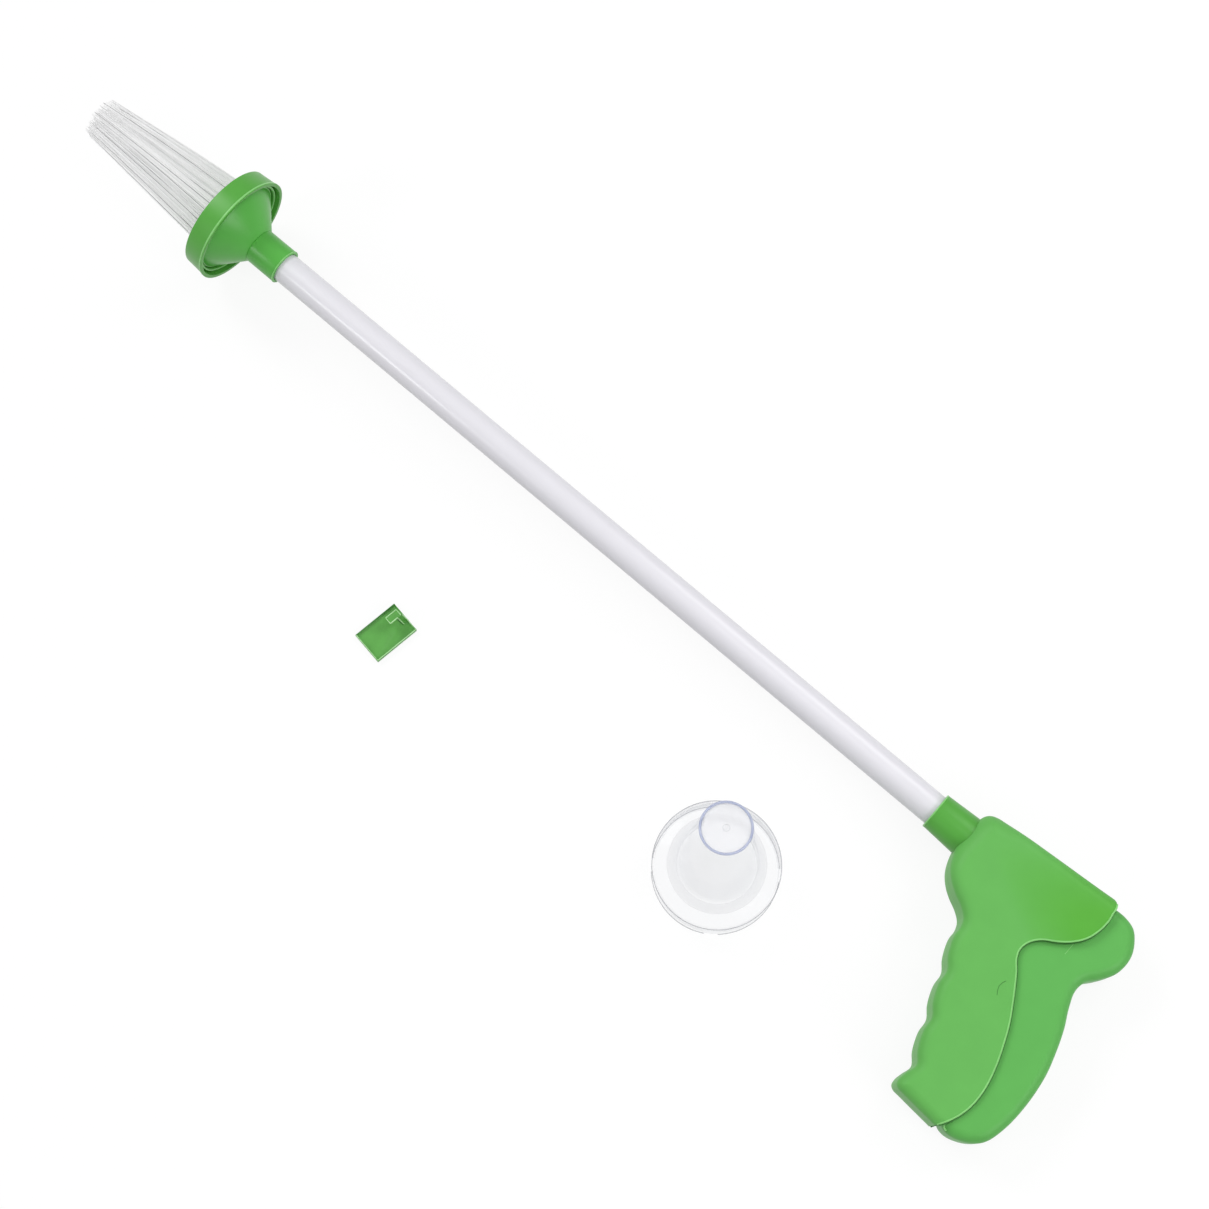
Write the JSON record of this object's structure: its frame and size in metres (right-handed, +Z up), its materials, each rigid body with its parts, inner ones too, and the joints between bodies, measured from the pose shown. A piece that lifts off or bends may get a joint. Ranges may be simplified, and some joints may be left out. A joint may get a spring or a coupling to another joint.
{
  "type": "spider catcher",
  "caption": "Long-reach insect catcher: a squeeze handle drives a rod down a tube and opens a ring of bristle segments, which close again softly. With a clear cap and a wall hook.",
  "frame": {"origin": "middle of the whole set's footprint, on the surface it lies on", "axes": "+X from the handle towards the bristles, +Y towards the grip's end, +Z up; the catcher lies on its right side"},
  "size_m": [0.6542, 0.1454, 0.122],
  "materials": {
    "bright_steel": "bright",
    "clear_bristle": "translucent strands",
    "clear_plastic": "clear moulded plastic",
    "green_plastic": "moulded, satin",
    "lever_plastic": "moulded, satin",
    "natural_nylon": "smooth",
    "white_tube": "smooth"
  },
  "bodies": {
    "handle": {"shell_left": "green_plastic", "shell_right": "green_plastic", "tube": "white_tube", "rear_bush": "natural_nylon", "front_bush": "natural_nylon", "head_funnel": "green_plastic", "head_ring": "green_plastic", "lever_pivot_pin": "bright_steel", "shell_screw_1": "bright_steel", "shell_screw_2": "bright_steel", "shell_screw_3": "bright_steel", "shell_screw_4": "bright_steel", "shell_screw_5": "bright_steel"},
    "lever": {"squeeze_lever": "lever_plastic"},
    "rod": {"push_rod": "bright_steel", "rod_carrier": "natural_nylon", "return_spring": "bright_steel", "hub_plate": "green_plastic", "hub_disc": "green_plastic", "hub_screw": "bright_steel"},
    "segment_1": {"segment_arm_1": "natural_nylon", "bristle_segment_1": "clear_bristle"},
    "segment_2": {"segment_arm_2": "natural_nylon", "bristle_segment_2": "clear_bristle"},
    "segment_3": {"segment_arm_3": "natural_nylon", "bristle_segment_3": "clear_bristle"},
    "segment_4": {"segment_arm_4": "natural_nylon", "bristle_segment_4": "clear_bristle"},
    "segment_5": {"segment_arm_5": "natural_nylon", "bristle_segment_5": "clear_bristle"},
    "segment_6": {"segment_arm_6": "natural_nylon", "bristle_segment_6": "clear_bristle"},
    "segment_7": {"segment_arm_7": "natural_nylon", "bristle_segment_7": "clear_bristle"},
    "segment_8": {"segment_arm_8": "natural_nylon", "bristle_segment_8": "clear_bristle"},
    "cap": {"clear_cap": "clear_plastic"},
    "hook": {"wall_hook": "green_plastic"}
  },
  "joints": [
    {"name": "lever_hinge", "type": "hinge", "parent": "handle", "child": "lever", "pos_m": [-0.29723, 0.05715, 0.01532], "axis": [-0.0235, 0.0132, 0.9996], "range_deg": [0, 6]},
    {"name": "rod_slide", "type": "slide", "parent": "handle", "child": "rod", "axis": [0.9997, 0.0002, 0.0235], "range_m": [0, 0.0106], "stiffness_N_per_m": 50, "springref_m": -0.004, "deforming": ["return_spring"]},
    {"name": "segment_1_hinge", "type": "hinge", "parent": "handle", "child": "segment_1", "pos_m": [0.23763, -0.02317, 0.02896], "axis": [-0.0235, 0.0132, 0.9996], "range_deg": [0, 42.1]},
    {"name": "segment_2_hinge", "type": "hinge", "parent": "handle", "child": "segment_2", "pos_m": [0.23728, -0.02898, 0.04353], "axis": [-0.0167, -0.6977, 0.7162], "range_deg": [0, 42.1]},
    {"name": "segment_3_hinge", "type": "hinge", "parent": "handle", "child": "segment_3", "pos_m": [0.23714, -0.0434, 0.04972], "axis": [-0.0002, -0.9999, 0.0132], "range_deg": [0, 42.1]},
    {"name": "segment_4_hinge", "type": "hinge", "parent": "handle", "child": "segment_4", "pos_m": [0.23728, -0.05797, 0.04391], "axis": [0.0165, -0.7164, -0.6975], "range_deg": [0, 42.1]},
    {"name": "segment_5_hinge", "type": "hinge", "parent": "handle", "child": "segment_5", "pos_m": [0.23762, -0.06416, 0.0295], "axis": [0.0235, -0.0132, -0.9996], "range_deg": [0, 42.1]},
    {"name": "segment_6_hinge", "type": "hinge", "parent": "handle", "child": "segment_6", "pos_m": [0.23796, -0.05835, 0.01493], "axis": [0.0167, 0.6977, -0.7162], "range_deg": [0, 42.1]},
    {"name": "segment_7_hinge", "type": "hinge", "parent": "handle", "child": "segment_7", "pos_m": [0.23811, -0.04394, 0.00874], "axis": [0.0002, 0.9999, -0.0132], "range_deg": [0, 42.1]},
    {"name": "segment_8_hinge", "type": "hinge", "parent": "handle", "child": "segment_8", "pos_m": [0.23797, -0.02936, 0.01455], "axis": [-0.0165, 0.7164, 0.6975], "range_deg": [0, 42.1]},
    {"name": "cap_lift", "type": "slide", "parent": "handle", "child": "cap", "axis": [0, 0, 1], "range_m": [0, 0.15]},
    {"name": "hook_lift", "type": "slide", "parent": "handle", "child": "hook", "axis": [0, 0, 1], "range_m": [0, 0.03]}
  ],
  "couplings": [
    {"joint": "rod_slide", "follows": "lever_hinge", "m_per_rad": 0.10027},
    {"joint": "segment_1_hinge", "follows": "lever_hinge", "ratio": 7},
    {"joint": "segment_2_hinge", "follows": "lever_hinge", "ratio": 7},
    {"joint": "segment_3_hinge", "follows": "lever_hinge", "ratio": 7},
    {"joint": "segment_4_hinge", "follows": "lever_hinge", "ratio": 7},
    {"joint": "segment_5_hinge", "follows": "lever_hinge", "ratio": 7},
    {"joint": "segment_6_hinge", "follows": "lever_hinge", "ratio": 7},
    {"joint": "segment_7_hinge", "follows": "lever_hinge", "ratio": 7},
    {"joint": "segment_8_hinge", "follows": "lever_hinge", "ratio": 7}
  ]
}
